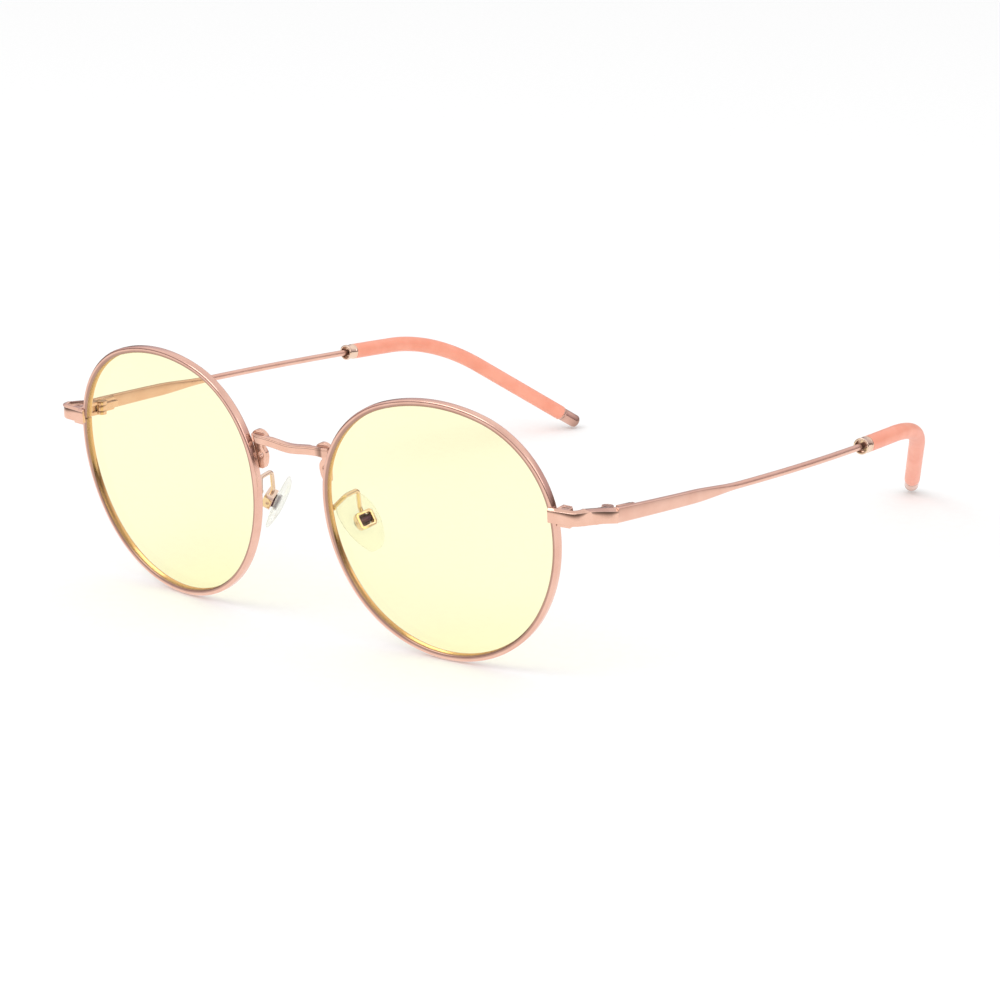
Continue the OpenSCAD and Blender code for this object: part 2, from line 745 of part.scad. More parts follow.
module temple_left() { color(rose) left() temple(); }
module temple_right() { color(rose) right() temple(); }
module ferrule_left() { color(gold) left() ferrule(); }
module ferrule_right() { color(gold) right() ferrule(); }
module temple_tip_left() { color(coral) left() temple_tip(); }
module temple_tip_right() { color(coral) right() temple_tip(); }
module tip_cap_left() { color(steel) left() tip_cap(); }
module tip_cap_right() { color(steel) right() tip_cap(); }

rim_left();
rim_right();
lens_left();
lens_right();
bridge();
gusset_left();
gusset_right();
endpiece_left();
endpiece_right();
rim_lock_left();
rim_lock_right();
rim_screw_left();
rim_screw_right();
pad_arm_left();
pad_arm_right();
pad_box_left();
pad_box_right();
pad_screw_left();
pad_screw_right();
pad_lug_left();
pad_lug_right();
nose_pad_left();
nose_pad_right();
hinge_front_left();
hinge_front_right();
hinge_screw_left();
hinge_screw_right();
hinge_temple_left();
hinge_temple_right();
temple_left();
temple_right();
ferrule_left();
ferrule_right();
temple_tip_left();
temple_tip_right();
tip_cap_left();
tip_cap_right();
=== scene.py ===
"""Metal-rimmed spectacles: two rims and tinted lenses, a flat bridge strip, end pieces that
turn back to the hinges, clear nose pads on wire arms, and temples with coral sleeves.

Parts are drawn in millimetres in the front's frame: origin midway between the lenses, +X to
the wearer's left, +Y back along the temples, +Z up. place() leans that frame, sets it on
the recorded hinge and turns it to metres. Paired pieces are drawn on the left and mirrored.
"""
import json
from math import acos, asin, atan2, copysign, cos, degrees, exp, pi, radians, sin, sqrt, tan

import bmesh
import bpy
import numpy as np
from mathutils import Matrix, Vector


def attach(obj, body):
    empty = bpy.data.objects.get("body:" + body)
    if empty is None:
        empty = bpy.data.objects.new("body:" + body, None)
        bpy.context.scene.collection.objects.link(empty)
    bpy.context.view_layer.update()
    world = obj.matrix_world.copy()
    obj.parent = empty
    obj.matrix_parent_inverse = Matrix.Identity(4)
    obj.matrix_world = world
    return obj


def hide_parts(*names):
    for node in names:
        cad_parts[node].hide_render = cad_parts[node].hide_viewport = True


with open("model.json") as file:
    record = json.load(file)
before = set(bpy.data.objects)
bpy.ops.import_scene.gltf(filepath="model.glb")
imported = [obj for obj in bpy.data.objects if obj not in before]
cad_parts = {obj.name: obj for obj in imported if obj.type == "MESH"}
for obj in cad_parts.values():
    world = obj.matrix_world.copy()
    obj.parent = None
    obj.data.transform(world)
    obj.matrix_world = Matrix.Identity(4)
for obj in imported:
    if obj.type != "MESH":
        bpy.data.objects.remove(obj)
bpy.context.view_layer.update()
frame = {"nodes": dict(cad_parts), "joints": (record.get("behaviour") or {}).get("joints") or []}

SCENE = bpy.context.scene

# ---------------------------------------------------------------- driving sizes (mm, degrees)
LENS_WIDTH, LENS_PITCH = 50.0, 67.0
WRAP = 5.6                          # each lens turned back at its outer side
RIM_WIDTH, RIM_DEPTH = 1.24, 1.76
LENS_THICK, LENS_RADIUS, LENS_DOME = 1.7, 131.0, 3.07
SPLAY, DROP = 6.54, 9.18            # of the temples
BOW_RADIUS, BLADE_HEIGHT, BLADE_THICK, BLADE_LENGTH = 437.0, 2.8, 1.2, 20.0
WIRE_DIAMETER = 1.34
TIP_RADIUS, TIP_STRAIGHT = 3.34 / 2, 29.8


# ---------------------------------------------------------------- vectors and curves
def vec(*values):
    return np.array(values, float)


def unit(vector):
    return np.asarray(vector, float) / np.linalg.norm(vector)


def rot_x(angle):
    c, s = cos(angle), sin(angle)
    return np.array([[1, 0, 0], [0, c, -s], [0, s, c]])


def rot_z(angle):
    c, s = cos(angle), sin(angle)
    return np.array([[c, -s, 0], [s, c, 0], [0, 0, 1]])


def direction(angle):
    return np.array([cos(radians(angle)), sin(radians(angle))])


def smoothstep(value):
    value = max(0.0, min(1.0, value))
    return value * value * (3 - 2 * value)


def spread(start, end, count):
    """Even steps from start to end, without start itself."""
    return [start + (end - start) * i / count for i in range(1, count + 1)]


def lookup(value, table):
    return float(np.interp(value, *zip(*table)))


def arc(x, y, radius, start, turns):
    """Points on a circle about (x, y), at start plus each turn in degrees."""
    angles = [radians(start + turn) for turn in turns]
    return [(x + radius * cos(a), y + radius * sin(a)) for a in angles]


def across(axis):
    """A direction square to axis."""
    return unit(np.cross([1, 0, 0] if abs(axis[0]) < 0.8 else [0, 1, 0], axis))


def side_directions(path):
    """Two side directions at each point of a path, carried along it without twist."""
    last = len(path) - 1
    tangents = [unit(path[min(i + 1, last)] - path[max(i - 1, 0)]) for i in range(last + 1)]
    side = across(tangents[0])
    sides = []
    for tangent in tangents:
        side = unit(side - (side @ tangent) * tangent)
        sides.append(side)
    return np.array(sides), np.cross(tangents, sides)


def path_lengths(path):
    return np.r_[0, np.cumsum(np.linalg.norm(np.diff(path, axis=0), axis=1))]


def interpolate(at, lengths, values):
    return np.stack([np.interp(at, lengths, values[:, i]) for i in range(3)], -1)


def rounded(corners, radii, steps):
    """The corners between the first and last of a 2-D line, each rounded by its radius."""
    out = []
    for i, radius in enumerate(radii, 1):
        before, corner, after = (np.array(p, float) for p in corners[i - 1:i + 2])
        to_before, to_after = unit(before - corner), unit(after - corner)
        half = acos(to_before @ to_after) / 2
        reach = min(radius / tan(half), 0.49 * np.linalg.norm(before - corner),
                    0.49 * np.linalg.norm(after - corner))
        fitted = reach * tan(half)
        centre = corner + unit(to_before + to_after) * fitted / sin(half)
        start = corner + to_before * reach - centre
        end = corner + to_after * reach - centre
        for j in range(steps + 1):
            share = j / steps
            out.append(centre + unit(start * (1 - share) + end * share) * fitted)
    return out


def corner_path(corners, radii, steps):
    """A 3-D path through corners, with an arc of its radius at each inner one."""
    out = [corners[0]]
    for i, radius in enumerate(radii, 1):
        corner = corners[i]
        to_before, to_after = unit(corners[i - 1] - corner), unit(corners[i + 1] - corner)
        angle = acos(to_before @ to_after)
        centre = corner + unit(to_before + to_after) * radius / sin(angle / 2)
        start = unit(corner + to_before * radius / tan(angle / 2) - centre)
        for j in range(steps + 1):
            turn = (pi - angle) * j / steps
            out.append(centre + radius * (start * cos(turn) - to_before * sin(turn)))
    out.append(corners[-1])
    return np.array(out)


# ---------------------------------------------------------------- lens outline and frames
# four tangent arcs a quarter, drawn for a 50 mm lens; the top arc is centred on x = 0
LENS_SCALE = LENS_WIDTH / 50
BOTTOM_R, SIDE_R, UPPER_R = 23.94 * LENS_SCALE, 29.91 * LENS_SCALE, 20.54 * LENS_SCALE
BOTTOM_END, SIDE_END, UPPER_END = -31.3, 7.25, 72.06
BOTTOM_Z = -25.25 * LENS_SCALE
BOTTOM_C = np.array([0, BOTTOM_Z + BOTTOM_R])
SIDE_C = BOTTOM_C + (BOTTOM_R - SIDE_R) * direction(BOTTOM_END)
UPPER_C = SIDE_C + (SIDE_R - UPPER_R) * direction(SIDE_END)
TOP_R = UPPER_R + UPPER_C[0] / cos(radians(UPPER_END))
TOP_C = UPPER_C + (UPPER_R - TOP_R) * direction(UPPER_END)
OUTLINE_ARCS = (                    # last angle, centre, radius
    (BOTTOM_END, BOTTOM_C, BOTTOM_R), (SIDE_END, SIDE_C, SIDE_R),
    (UPPER_END, UPPER_C, UPPER_R), (90, TOP_C, TOP_R))

LENS_X = LENS_PITCH / 2
HALF_WIDTH = SIDE_C[0] + SIDE_R
NOSE_X = LENS_X - HALF_WIDTH * cos(radians(WRAP))
OUTER_X = LENS_X + HALF_WIDTH * cos(radians(WRAP))
OUTER_Y = HALF_WIDTH * sin(radians(WRAP))
RIM_BACK = -OUTER_Y + RIM_DEPTH / 2  # y of the rim's back at its nose side
PLATE_Y = RIM_BACK + 0.04            # front face of the gusset plates
LENS_TURN = rot_z(radians(WRAP)) @ rot_x(radians(90))


def outline_point(angle, offset):
    """Point of the lens outline at an angle, moved outward by offset."""
    angle = (angle + 180) % 360 - 180
    right_half = abs(angle) <= 90
    folded = angle if right_half else copysign(180, angle) - angle
    centre, radius = next((c, r) for end, c, r in OUTLINE_ARCS if folded <= end)
    point = centre + (radius + offset) * direction(folded)
    return point if right_half else np.array([-point[0], point[1]])


def lens_point(x, y, z):
    """From the lens's own frame (y up, z forward) to the front's frame."""
    return vec(LENS_X, 0, 0) + LENS_TURN @ vec(x, y, z)


# temple frame: y runs back from the joint, z is up
JOINT = vec(OUTER_X + 7.05, 11.93, 4.47)
HINGE_X, JOINT_START = -2.14, -0.85
TEMPLE_TURN = rot_x(-radians(DROP)) @ rot_z(-radians(SPLAY))


def temple_point(point):
    return JOINT + TEMPLE_TURN @ np.asarray(point, float)


fold = next(joint for joint in frame["joints"] if joint["name"] == "temple_left_fold")
LEAN = rot_x(radians(DROP) - atan2(fold["axis"][1], fold["axis"][2]))
SHIFT = np.array(fold["pos_m"]) * 1000 - LEAN @ temple_point([HINGE_X, JOINT_START, 0])


def place(points):
    return (np.asarray(points, float) @ LEAN.T + SHIFT) / 1000


# ---------------------------------------------------------------- mesh tools
class Mesh:
    def __init__(self):
        self.points, self.faces, self.shade = [], [], None

    def add(self, other):
        first = len(self.points)
        self.points += other.points
        self.faces += [[i + first for i in face] for face in other.faces]


def loft(rings, closed=False):
    """Skin over rings; a closed loft joins the last to the first, an open one is capped."""
    mesh = Mesh()
    mesh.points = [tuple(point) for ring in rings for point in ring]
    count = len(rings[0])
    last = (len(rings) - 1) * count
    for i in range(len(rings) if closed else len(rings) - 1):
        a, b = i * count, (i + 1) % len(rings) * count
        for j in range(count):
            k = (j + 1) % count
            mesh.faces.append([a + j, a + k, b + k, b + j])
    if not closed:
        mesh.faces.append(list(range(count))[::-1])
        mesh.faces.append(list(range(last, last + count)))
    return mesh


def soft_ends(rings, radius, steps):
    """The same rings with the edges of both end faces rounded along a quarter circle."""
    def end(ring, neighbour):
        centre = ring.mean(0)
        inward = unit(neighbour.mean(0) - centre)
        out = []
        for i in range(steps + 1):
            turn = pi / 2 * i / steps
            shrink, depth = radius * (1 - sin(turn)), radius * (1 - cos(turn))
            drawn_in = []
            for point in ring:
                spoke = point - centre
                spoke = spoke - inward * (spoke @ inward)
                length = max(np.linalg.norm(spoke), 1e-9)
                step = spoke / length * min(shrink, length * 0.9)
                drawn_in.append(point - step + inward * depth)
            out.append(np.array(drawn_in))
        return out
    return end(rings[0], rings[1]) + rings[1:-1] + end(rings[-1], rings[-2])[::-1]


def circle(centre, radius, side, other_side, count):
    turns = (2 * pi * np.arange(count) / count)[:, None]
    return centre + radius * (np.cos(turns) * side + np.sin(turns) * other_side)


def lathe(profile, origin, axis, count, closed=False):
    """Turn a profile of (radius, height) about an axis through origin."""
    axis = unit(axis)
    side = across(axis)
    other = np.cross(axis, side)
    return loft([circle(origin + axis * height, max(radius, 1e-4), side, other, count)
                 for radius, height in profile], closed)


# ---------------------------------------------------------------- objects
# the moving body each base name rides on; the rest ride on the front
BODY = {"temple": "temple_arm_", "ferrule": "temple_arm_", "temple_tip": "temple_arm_",
        "tip_cap": "temple_arm_", "hinge_temple": "temple_arm_",
        "nose_pad": "pad_", "pad_lug": "pad_"}


def body_of(base, side):
    return BODY[base] + side if base in BODY else "front"


def add_piece(node, data, body, finish, sharp):
    """Shade and link the object that stands for one CAD node."""
    material, slot = finish
    data.validate()
    for face in data.polygons:
        face.use_smooth = True
    data.set_sharp_from_angle(angle=radians(sharp))
    data.update()
    piece = bpy.data.objects.new(f"{node}_shape", data)
    SCENE.collection.objects.link(piece)
    data.materials.append(material)
    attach(piece, body)
    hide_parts(node)


def emit(node, mesh, body, finish, sharp=40, mirror=False):
    coords = place(mesh.points)
    faces = mesh.faces
    if mirror:
        coords = coords * np.array([-1, 1, 1])
        faces = [face[::-1] for face in faces]
    data = bpy.data.meshes.new(f"{node}_shape")
    data.from_pydata(coords.tolist(), [], faces)
    if mesh.shade is not None:
        shade = data.attributes.new("shade", "FLOAT", "POINT")
        shade.data.foreach_set("value", np.asarray(mesh.shade, np.float32))
    bm = bmesh.new()
    bm.from_mesh(data)
    bmesh.ops.recalc_face_normals(bm, faces=bm.faces)
    bm.to_mesh(data)
    bm.free()
    add_piece(node, data, body, finish, sharp)


def both(base, mesh, finish, sharp=40):
    """The piece on the left and mirrored on the right."""
    for side in ("left", "right"):
        emit(f"{base}_{side}", mesh, body_of(base, side), finish, sharp, side == "right")


def eased_cad(base, finish, width, segments=3):
    """The CAD solids themselves with their edges eased by width."""
    for side in ("left", "right"):
        node = f"{base}_{side}"
        bm = bmesh.new()
        bm.from_mesh(frame["nodes"][node].data)
        for vertex in bm.verts:
            vertex.co *= 1000
        bmesh.ops.remove_doubles(bm, verts=bm.verts, dist=0.002)
        bmesh.ops.dissolve_limit(bm, angle_limit=radians(1.0), verts=bm.verts, edges=bm.edges)
        for edge in bm.edges:
            edge.smooth = True
        edges = [edge for edge in bm.edges
                 if len(edge.link_faces) == 2 and edge.calc_face_angle(0) > radians(32)]
        bmesh.ops.bevel(bm, geom=edges, offset=width, offset_type="OFFSET", segments=segments,
                        profile=0.5, affect="EDGES", clamp_overlap=True, loop_slide=True,
                        miter_outer="SHARP")
        for vertex in bm.verts:
            vertex.co /= 1000
        bmesh.ops.recalc_face_normals(bm, faces=bm.faces)
        data = bpy.data.meshes.new(f"{node}_shape")
        bm.to_mesh(data)
        bm.free()
        if "custom_normal" in data.attributes:
            data.attributes.remove(data.attributes["custom_normal"])
        for face in data.polygons:
            face.material_index = 0
        add_piece(node, data, body_of(base, side), finish, sharp=38)


# ---------------------------------------------------------------- materials
def srgb(*channels):
    """Linear colour from 0-255 sRGB channels."""
    shares = [c / 255 for c in channels]
    return (*(c / 12.92 if c <= 0.04045 else ((c + 0.055) / 1.055) ** 2.4 for c in shares), 1.0)


class Nodes:
    """Node tree of a material or world; its calls return output sockets."""

    def __init__(self, owner, output="OutputMaterial", coords="Object"):
        owner.use_nodes = True
        self.owner, self.tree = owner, owner.node_tree
        self.tree.nodes.clear()
        self.output = self.tree.nodes.new(f"ShaderNode{output}")
        self.coords = self.node("TexCoord", out=coords)

    def node(self, kind, inputs=None, out=0, **props):
        node = self.tree.nodes.new(f"ShaderNode{kind}")
        for key, value in props.items():
            setattr(node, key, value)
        for key, value in (inputs or {}).items():
            if isinstance(value, bpy.types.NodeSocket):
                self.tree.links.new(value, node.inputs[key])
            else:
                node.inputs[key].default_value = value
        return node.outputs[out]

    def noise(self, scale, detail=2.0, rough=0.5, stretch=(1, 1, 1)):
        vector = self.node("Mapping", {"Vector": self.coords, "Scale": stretch})
        return self.node("TexNoise", {"Vector": vector, "Scale": scale, "Detail": detail,
                                      "Roughness": rough}, out="Fac")

    def remap(self, value, span, to=(0.0, 1.0)):
        return self.node("MapRange", {"Value": value, "From Min": span[0], "From Max": span[1],
                                      "To Min": to[0], "To Max": to[1]}, clamp=True)

    def math(self, operation, first, second):
        return self.node("Math", {0: first, 1: second}, operation=operation)

    def mix(self, factor, first, second):
        return self.node("Mix", {0: factor, 6: first, 7: second}, out=2, data_type="RGBA")

    def mix_shader(self, factor, first, second):
        return self.node("MixShader", {"Fac": factor, 1: first, 2: second})

    def bump(self, height, strength, distance):
        return self.node("Bump", {"Height": height, "Strength": strength,
                                  "Distance": distance})

    def edge(self, radius):
        """1 on edges, where the bevelled normal leaves the true one."""
        bevel = self.node("Bevel", {"Radius": radius}, samples=4)
        normal = self.node("NewGeometry", out="Normal")
        dot = self.node("VectorMath", {0: bevel, 1: normal}, out="Value",
                        operation="DOT_PRODUCT")
        return self.remap(self.math("SUBTRACT", 1.0, dot), span=(0.02, 0.22))

    def done(self, shader):
        self.tree.links.new(shader, self.output.inputs["Surface"])
        return self.owner


def metal(name, base, dark, worn, rough, vary=0.05, bump=0.10, stretch=(1, 1, 1),
          painted_shade_colour=(0.10, 0.055, 0.038, 1)):
    """Plated metal: slow colour drift, fine grain, brighter smoother edges, painted shade where
    marked.
    base, dark and worn are sRGB; rough varies by vary; the last argument is the painted shade's
    linear colour."""
    net = Nodes(bpy.data.materials.new(name))
    slow = net.noise(scale=260, detail=3, rough=0.55)
    fine = net.noise(scale=9000, detail=3, rough=0.6, stretch=stretch)
    middle = net.noise(scale=1500, stretch=stretch)
    colour = net.mix(net.remap(slow, span=(0.35, 0.65)), srgb(*dark), srgb(*base))
    edge = net.edge(radius=0.00012)
    patchy = net.remap(middle, span=(0.3, 0.7), to=(0.35, 0.9))
    rubbed = net.math("MULTIPLY", edge, patchy)
    colour = net.mix(rubbed, colour, srgb(*worn))
    # painted shade: where the mesh's shade attribute is set, the colour is pulled towards the
    # shade colour
    hollow = net.node("Attribute", out="Fac", attribute_name="shade")
    colour = net.mix(hollow, colour, painted_shade_colour)
    # light that has already met metal once keeps a quieter colour, so corners go brown not red
    depth = net.node("LightPath", out="Glossy Depth")
    colour = net.mix(net.remap(depth, span=(0.5, 0.9)), colour, (0.76, 0.64, 0.57, 1))
    roughness = net.remap(middle, span=(0.3, 0.7), to=(rough - vary, rough + vary))
    smoothing = net.math("MULTIPLY", rubbed, -0.3 * rough)
    return net.done(net.node("BsdfPrincipled", {
        "Base Color": colour, "Metallic": 1.0,
        "Roughness": net.math("ADD", roughness, smoothing),
        "Normal": net.bump(fine, strength=bump, distance=0.00003),
        "Coat Weight": 0.0, "Coat Roughness": 0.08}))


def lens_tint():
    """Pale yellow lens: light passes straight through and is tinted at each face."""
    net = Nodes(bpy.data.materials.new("lens_tint_clear"))
    tint = net.mix(net.remap(net.noise(scale=30), span=(0.3, 0.7)),
                   (0.999, 0.991, 0.820, 1), (1.0, 0.993, 0.830, 1))
    clear = net.node("BsdfTransparent", {"Color": tint})
    dust = net.noise(scale=2200, detail=3, rough=0.6)
    gloss = net.node("BsdfGlossy", {
        "Color": (0.97, 0.98, 0.94, 1),
        "Roughness": net.remap(dust, span=(0.3, 0.75), to=(0.015, 0.05)),
        "Normal": net.bump(net.noise(scale=60), strength=0.02, distance=0.0001)})
    fresnel = net.node("Fresnel", {"IOR": 1.35})
    factor = net.remap(fresnel, span=(0.0, 0.5), to=(0.002, 0.035))
    return net.done(net.mix_shader(factor, clear, gloss))


def pad_silicone():
    """Clear silicone: mostly see-through, a trace of milkiness, soft highlights."""
    net = Nodes(bpy.data.materials.new("clear_pad_silicone"))
    cloud = net.noise(scale=700, detail=3, rough=0.6)
    facing = net.node("LayerWeight", {"Blend": 0.5}, out="Facing")
    tint = net.mix(net.remap(cloud, span=(0.3, 0.7)),
                   (0.975, 0.978, 0.955, 1), (0.985, 0.988, 0.968, 1))
    tint = net.mix(net.remap(facing, span=(0.72, 1.0)), tint, (0.80, 0.82, 0.76, 1))
    clear = net.node("BsdfTransparent", {"Color": tint})
    milk = net.mix_shader(0.5, net.node("BsdfDiffuse", {"Color": (0.97, 0.97, 0.97, 1)}),
                          net.node("BsdfTranslucent", {"Color": (0.99, 0.99, 0.99, 1)}))
    milkiness = net.remap(cloud, span=(0.3, 0.7), to=(0.16, 0.22))
    body = net.mix_shader(milkiness, clear, milk)
    grain = net.noise(scale=2600, detail=3, rough=0.6)
    gloss = net.node("BsdfGlossy", {
        "Color": (1, 1, 1, 1),
        "Roughness": net.remap(cloud, span=(0.3, 0.7), to=(0.10, 0.18)),
        "Normal": net.bump(grain, strength=0.08, distance=0.00005)})
    factor = net.math("MULTIPLY", net.node("Fresnel", {"IOR": 1.33}), 0.35)
    seen = net.mix_shader(factor, body, gloss)
    # shadows stay faint
    shadow = net.node("BsdfTransparent", {"Color": (0.97, 0.975, 0.97, 1)})
    is_shadow = net.node("LightPath", out="Is Shadow Ray")
    return net.done(net.mix_shader(is_shadow, seen, shadow))


def coral_sleeve():
    """Soft semi-gloss coral."""
    net = Nodes(bpy.data.materials.new("coral_tip_sleeve"))
    slow = net.noise(scale=180, detail=3)
    fine = net.noise(scale=5200, detail=4, rough=0.65)
    colour = net.mix(net.remap(slow, span=(0.35, 0.65)),
                     srgb(241, 153, 126), srgb(247, 166, 140))
    specks = net.remap(fine, span=(0.62, 0.80), to=(0.0, 0.25))
    colour = net.mix(specks, colour, srgb(226, 136, 116))
    rubbed = net.math("MULTIPLY", net.edge(radius=0.00018), 0.4)
    colour = net.mix(rubbed, colour, srgb(250, 186, 168))
    return net.done(net.node("BsdfPrincipled", {
        "Base Color": colour, "Metallic": 0.0,
        "Roughness": net.remap(fine, span=(0.3, 0.7), to=(0.36, 0.48)),
        "Normal": net.bump(fine, strength=0.10, distance=0.00004),
        "Subsurface Weight": 0.12, "Subsurface Scale": 0.001,
        "Subsurface Radius": (1.0, 0.5, 0.35), "Coat Weight": 0.12, "Coat Roughness": 0.25}))


# finishes: (material, slot)
ROSE = (metal("rose_metal_satin", base=(243, 199, 180), dark=(237, 190, 170),
              worn=(251, 218, 203), rough=0.32, vary=0.03, bump=0.04, stretch=(1, 0.18, 1)),
        "rose_metal")
ROSE_RIM = (metal("rose_metal_rim", base=(240, 196, 178), dark=(233, 186, 168),
                  worn=(250, 216, 201), rough=0.17, vary=0.03, bump=0.03), "rose_metal")
ROSE_BRIGHT = (metal("rose_metal_polished", base=(243, 199, 178), dark=(237, 190, 168),
                     worn=(253, 222, 206), rough=0.15, vary=0.03, bump=0.02), "rose_metal")
GOLD = (metal("gold_wire_satin", base=(243, 216, 194), dark=(237, 206, 182),
              worn=(252, 232, 214), rough=0.12, vary=0.03, bump=0.03), "gold_wire")
STEEL = (metal("screw_metal", base=(226, 190, 172), dark=(204, 168, 152),
               worn=(246, 216, 200), rough=0.24), "screw_steel")
LUG = (metal("dark_lug_metal", base=(104, 70, 90), dark=(74, 48, 68),
             worn=(150, 112, 126), rough=0.22), "lug_metal")
CAP = (metal("cap_metal_polished", base=(226, 184, 168), dark=(212, 168, 152),
             worn=(244, 210, 196), rough=0.20, vary=0.04, bump=0.03,
             painted_shade_colour=(0.22, 0.13, 0.10, 1)), "cap_metal")
LENS = (lens_tint(), "lens_tint")
PAD = (pad_silicone(), "clear_pad")
CORAL = (coral_sleeve(), "coral_tip")

# ---------------------------------------------------------------- rims and lenses
SPLIT_Z, SPLIT_GAP = 6.2, 0.28      # the saw cut on the rim's outer side


def rim_profile():
    """Rim section as (outward, forward), rounded over, with a V groove on the lens side."""
    radius = 0.42
    half_width, half_depth = RIM_WIDTH / 2, RIM_DEPTH / 2
    x, z = half_width - radius, half_depth - radius
    quarter = range(0, 91, 15)
    groove = ((0, 0.42), (0.03, 0.37), (0.4, 0.0), (0.03, -0.37), (0, -0.42))
    return (arc(x, -z, radius, -90, quarter) + arc(x, z, radius, 0, quarter)
            + [(flat, half_depth) for flat in (0.12, 0.04, -0.04, -0.12)]
            + arc(-x, z, radius, 90, quarter)
            + [(depth - half_width, forward) for depth, forward in groove]
            + arc(-x, -z, radius, 180, quarter[:-1]))


def rim():
    steps = 340
    split = degrees(asin((SPLIT_Z - UPPER_C[1]) / UPPER_R))
    half_gap = degrees(SPLIT_GAP / 2 / UPPER_R)
    profile = rim_profile()
    rings = []
    for i in range(steps + 1):
        angle = split - half_gap - (360 - 2 * half_gap) * i / steps
        rings.append(np.array([lens_point(*outline_point(angle, outward), forward)
                               for outward, forward in profile]))
    mesh = loft(soft_ends(rings, 0.05, 2))
    # painted shade: the front face is darker where it falls in towards the lens
    row = [0.50 * smoothstep((0.10 - outward) / 0.30) * smoothstep((forward + 0.35) / 0.3)
           for outward, forward in profile]
    mesh.shade = row * (len(mesh.points) // len(row))
    return mesh


def lens():
    angles = [360 * j / 200 for j in range(200)]
    inset = RIM_WIDTH / 2 + 0.08
    shares = [0.004, 0.06, 0.14, 0.24, 0.34, 0.44, 0.54, 0.64, 0.73, 0.81, 0.88, 0.93, 0.97, 1.0]

    def face_ring(share, radius):
        out = []
        for angle in angles:
            point = outline_point(angle, -inset) * share
            height = LENS_DOME - LENS_RADIUS + sqrt(radius * radius - point @ point)
            out.append(lens_point(*point, height))
        return out

    rings = [face_ring(share, LENS_RADIUS - LENS_THICK) for share in shares]
    # V edge that sits in the rim's groove
    for offset, forward in ((-0.05, -0.38), (0.33, 0), (-0.05, 0.38)):
        rings.append([lens_point(*outline_point(angle, -RIM_WIDTH / 2 + offset), forward)
                      for angle in angles])
    return loft(rings + [face_ring(share, LENS_RADIUS) for share in shares[::-1]])


# ---------------------------------------------------------------- bridge and gussets
def bridge():
    """Flat strip from rim to rim, its front face stepped in finely under the top edge."""
    steps, height, half_length = 180, 1.72, NOSE_X + 0.6
    corner = (0, -22, -45, -68, -90)
    # depth as a share of the groove's, distance down from the top
    groove = ((0, 0.46), (0.3, 0.42), (1, 0.385), (1, 0.345), (0.3, 0.31), (0, 0.28))
    rings = []
    for i in range(steps + 1):
        x = -half_length + 2 * half_length * i / steps
        back = PLATE_Y - 0.01 + 0.28 * (1 - smoothstep(abs(x) - NOSE_X + 4.2))
        front = PLATE_Y - 1.02 + 0.5 * max(0, (abs(x) - NOSE_X + 1.6) / 2.2) ** 2
        thick = back - front
        top = 11.5 + 0.6 * (1 - exp(-((x / 4) ** 2)))
        bottom = top - height
        radius, top_radius = min(0.20, thick * 0.42), min(0.16, thick * 0.4)
        groove_depth = min(0.035, thick * 0.25)
        # (y, z): up the front face, over the top and down the back
        section = (arc(front + radius, bottom + radius, radius, 270, corner)
                   + [(front, bottom + 0.62)]
                   + [(front + groove_depth * share, top - down) for share, down in groove]
                   + arc(front + top_radius, top - top_radius, top_radius, 180, corner)
                   + arc(back - radius, top - radius, radius, 90, corner)
                   + arc(back - radius, bottom + radius, radius, 0, corner))
        rings.append(np.array([vec(x, y, z) for y, z in section[::-1]]))
    mesh = loft(soft_ends(rings, 0.05, 2))
    # painted shade standing for a dark reflection: front face darkened near the ends, more on the
    # left
    mesh.shade = []
    for x, y, z in mesh.points:
        near_end = smoothstep((abs(x) - 6.5) / 1.5) * (1 - 0.9 * smoothstep((abs(x) - 8.0) / 0.4))
        near_end *= 0.8 if x > 0 else 0.25
        mesh.shade.append(0.85 * near_end * smoothstep((PLATE_Y - 0.35 - y) / 0.3))
    return mesh


def plate(loops, front, thick, bevel):
    """Flat plate in the x-z plane from y = front back by thick; loops are outline and holes."""
    curve = bpy.data.curves.new("tmp", "CURVE")
    curve.dimensions = "2D"
    curve.fill_mode = "BOTH"
    for loop in loops:
        spline = curve.splines.new("POLY")
        spline.points.add(len(loop) - 1)
        for point, (x, z) in zip(spline.points, loop):
            point.co = (x, z, 0, 1)
        spline.use_cyclic_u = True
    curve.extrude = thick / 2 - bevel
    curve.bevel_depth = bevel
    curve.bevel_resolution = 3
    curve.offset = -bevel
    holder = bpy.data.objects.new("tmp", curve)
    SCENE.collection.objects.link(holder)
    bpy.context.view_layer.update()
    evaluated = holder.evaluated_get(bpy.context.evaluated_depsgraph_get())
    data = bpy.data.meshes.new_from_object(evaluated)
    bpy.data.objects.remove(holder)
    bm = bmesh.new()
    bm.from_mesh(data)
    bmesh.ops.remove_doubles(bm, verts=bm.verts, dist=0.0008)
    bmesh.ops.dissolve_degenerate(bm, edges=bm.edges, dist=0.0004)
    for vertex in bm.verts:
        x, y, z = vertex.co
        vertex.co = (x, front + thick / 2 - z, y)
    bmesh.ops.recalc_face_normals(bm, faces=bm.faces)
    bm.verts.index_update()
    mesh = Mesh()
    mesh.points = [tuple(vertex.co) for vertex in bm.verts]
    mesh.faces = [[vertex.index for vertex in face.verts] for face in bm.faces]
    bm.free()
    bpy.data.meshes.remove(data)
    return mesh


GUSSET_CORNERS = (                  # x from NOSE_X, z, corner radius
    (-2.3, 9.85, 0.4), (-1.15, 9.75, 0.2), (-1.75, 9.2, 0.8), (-2.2, 8.5, 0.8),
    (-2.25, 7.5, 0.9), (-2.0, 6.2, 0.9), (-1.6, 5.4, 0.5), (-0.9, 5.05, 0.4),
    (-0.1, 5.05, 0.3), (0.15, 5.5, 0.3), (0.35, 8, 1.5), (0.95, 10.4, 0.4))


